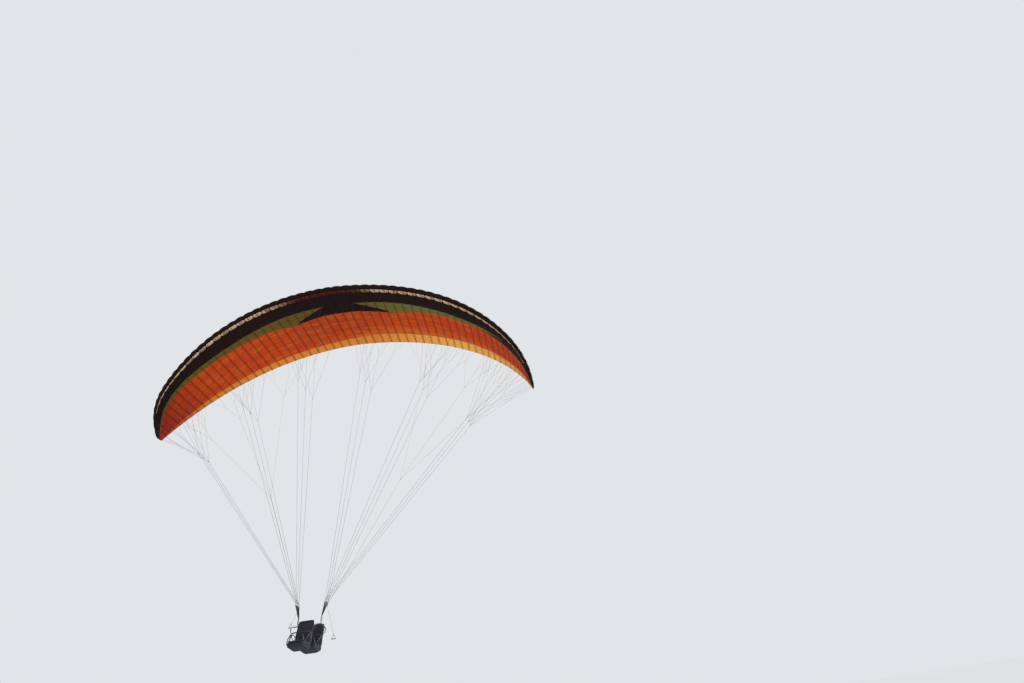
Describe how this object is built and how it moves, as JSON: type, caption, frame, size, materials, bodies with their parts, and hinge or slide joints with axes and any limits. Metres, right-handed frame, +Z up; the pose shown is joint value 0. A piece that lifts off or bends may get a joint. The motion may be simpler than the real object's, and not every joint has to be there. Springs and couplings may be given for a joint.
{
  "type": "two-seat paraglider",
  "caption": "Ram-air paraglider for a pilot and a passenger, with its line fans, risers, spreader bars, harnesses and brakes.",
  "frame": {"origin": "the middle of the canopy's root section, at 30% of its chord, on its chord line", "axes": "+Z up as it flies, the nose towards -Y, the pilot's left towards +X, span along X"},
  "size_m": [12.1908, 3.271, 10.241],
  "materials": {
    "upper_cloth": "coated ripstop, dark",
    "lower_cloth": "coated ripstop, orange red with olive and dark bands at the front",
    "edge_cloth": "coated ripstop, light orange",
    "line": "sheathed braid",
    "webbing": "woven webbing",
    "alloy": "satin",
    "handle": "matte",
    "harness_cloth": "coarse coated cloth",
    "pad_cloth": "spacer mesh"
  },
  "bodies": {
    "canopy": {"centre_upper_surface": "upper_cloth", "centre_lower_surface": "lower_cloth", "left_inner_upper_surface": "upper_cloth", "left_inner_lower_surface": "lower_cloth", "left_outer_upper_surface": "upper_cloth", "left_outer_lower_surface": "lower_cloth", "left_tip_upper_surface": "upper_cloth", "left_tip_lower_surface": "lower_cloth", "right_inner_upper_surface": "upper_cloth", "right_inner_lower_surface": "lower_cloth", "right_outer_upper_surface": "upper_cloth", "right_outer_lower_surface": "lower_cloth", "right_tip_upper_surface": "upper_cloth", "right_tip_lower_surface": "lower_cloth", "left_riser_a": "webbing", "left_riser_b": "webbing", "left_riser_c": "webbing", "left_main_carabiner": "alloy", "right_riser_a": "webbing", "right_riser_b": "webbing", "right_riser_c": "webbing", "right_main_carabiner": "alloy", "left_brake_pulley": "alloy", "right_brake_pulley": "alloy", "left_a_lines": "line", "left_b_lines": "line", "left_c_lines": "line", "right_a_lines": "line", "right_b_lines": "line", "right_c_lines": "line"},
    "left_flap_1": {"left_flap_1": "edge_cloth"},
    "right_flap_1": {"right_flap_1": "edge_cloth"},
    "left_flap_2": {"left_flap_2": "edge_cloth"},
    "right_flap_2": {"right_flap_2": "edge_cloth"},
    "left_flap_3": {"left_flap_3": "edge_cloth"},
    "right_flap_3": {"right_flap_3": "edge_cloth"},
    "left_flap_4": {"left_flap_4": "edge_cloth"},
    "right_flap_4": {"right_flap_4": "edge_cloth"},
    "left_brake_handle": {"left_brake_handle": "handle"},
    "right_brake_handle": {"right_brake_handle": "handle"},
    "spreader_bars": {"left_spreader_bar": "alloy", "right_spreader_bar": "alloy"},
    "passenger_harness": {"passenger_seat_shell": "harness_cloth", "passenger_seat_pad": "pad_cloth", "passenger_webbing": "webbing", "passenger_leg_straps": "webbing"},
    "pilot_harness": {"pilot_seat_shell": "harness_cloth", "pilot_seat_pad": "pad_cloth", "pilot_webbing": "webbing", "pilot_leg_straps": "webbing", "pilot_reserve_container": "harness_cloth"},
    "left_brake_lines": {"left_brake_lines": "line"},
    "right_brake_lines": {"right_brake_lines": "line"}
  },
  "joints": [
    {"name": "left_flap_1_hinge", "type": "hinge", "parent": "canopy", "child": "left_flap_1", "pos_m": [2.2396, 1.8284, -0.1957], "axis": [-0.9773, -0.1076, 0.1824], "range_deg": [0, 30], "stiffness_Nm_per_rad": 10, "springref_deg": -34.38},
    {"name": "left_flap_2_hinge", "type": "hinge", "parent": "canopy", "child": "left_flap_2", "pos_m": [3.6275, 1.9501, -0.6237], "axis": [-0.9122, -0.0584, 0.4056], "range_deg": [0, 30]},
    {"name": "left_flap_3_hinge", "type": "hinge", "parent": "canopy", "child": "left_flap_3", "pos_m": [4.7842, 1.9663, -1.3407], "axis": [-0.7618, 0.0389, 0.6467], "range_deg": [0, 30]},
    {"name": "left_flap_4_hinge", "type": "hinge", "parent": "canopy", "child": "left_flap_4", "pos_m": [5.5838, 1.8655, -2.2332], "axis": [-0.5333, 0.1364, 0.8349], "range_deg": [0, 30]},
    {"name": "left_brake_lines_slide", "type": "slide", "parent": "canopy", "child": "left_brake_lines", "axis": [-0.4303, -0.1613, -0.8882], "range_m": [0, 0.235]},
    {"name": "left_brake_handle_slide", "type": "slide", "parent": "canopy", "child": "left_brake_handle", "axis": [0.3425, 0, -0.9395], "range_m": [0, 0.235]},
    {"name": "right_flap_1_hinge", "type": "hinge", "parent": "canopy", "child": "right_flap_1", "pos_m": [-2.2396, 1.8284, -0.1957], "axis": [-0.9773, 0.1076, -0.1824], "range_deg": [0, 30], "stiffness_Nm_per_rad": 10, "springref_deg": -34.38},
    {"name": "right_flap_2_hinge", "type": "hinge", "parent": "canopy", "child": "right_flap_2", "pos_m": [-3.6275, 1.9501, -0.6237], "axis": [-0.9122, 0.0584, -0.4056], "range_deg": [0, 30]},
    {"name": "right_flap_3_hinge", "type": "hinge", "parent": "canopy", "child": "right_flap_3", "pos_m": [-4.7842, 1.9663, -1.3407], "axis": [-0.7618, -0.0389, -0.6467], "range_deg": [0, 30]},
    {"name": "right_flap_4_hinge", "type": "hinge", "parent": "canopy", "child": "right_flap_4", "pos_m": [-5.5838, 1.8655, -2.2332], "axis": [-0.5333, -0.1364, -0.8349], "range_deg": [0, 30]},
    {"name": "right_brake_lines_slide", "type": "slide", "parent": "canopy", "child": "right_brake_lines", "axis": [0.4303, -0.1613, -0.8882], "range_m": [0, 0.235]},
    {"name": "right_brake_handle_slide", "type": "slide", "parent": "canopy", "child": "right_brake_handle", "axis": [-0.4461, 0, -0.895], "range_m": [0, 0.235]},
    {"name": "spreader_bars_swing", "type": "hinge", "parent": "canopy", "child": "spreader_bars", "pos_m": [0, 0.7, -9.3085], "axis": [1, 0, 0], "range_deg": [-15, 15]},
    {"name": "passenger_harness_swing", "type": "hinge", "parent": "spreader_bars", "child": "passenger_harness", "pos_m": [0, 0.37, -9.4525], "axis": [1, 0, 0], "range_deg": [-30, 6]},
    {"name": "pilot_harness_swing", "type": "hinge", "parent": "spreader_bars", "child": "pilot_harness", "pos_m": [0, 1.004, -9.4375], "axis": [1, 0, 0], "range_deg": [-6, 30]}
  ],
  "couplings": [
    {"joint": "left_flap_2_hinge", "follows": "left_flap_1_hinge", "ratio": 1},
    {"joint": "left_flap_3_hinge", "follows": "left_flap_1_hinge", "ratio": 1},
    {"joint": "left_flap_4_hinge", "follows": "left_flap_1_hinge", "ratio": 1},
    {"joint": "left_brake_lines_slide", "follows": "left_flap_1_hinge", "m_per_rad": 0.4488},
    {"joint": "left_brake_handle_slide", "follows": "left_flap_1_hinge", "m_per_rad": 0.4488},
    {"joint": "right_flap_2_hinge", "follows": "right_flap_1_hinge", "ratio": 1},
    {"joint": "right_flap_3_hinge", "follows": "right_flap_1_hinge", "ratio": 1},
    {"joint": "right_flap_4_hinge", "follows": "right_flap_1_hinge", "ratio": 1},
    {"joint": "right_brake_lines_slide", "follows": "right_flap_1_hinge", "m_per_rad": 0.4488},
    {"joint": "right_brake_handle_slide", "follows": "right_flap_1_hinge", "m_per_rad": 0.4488}
  ]
}
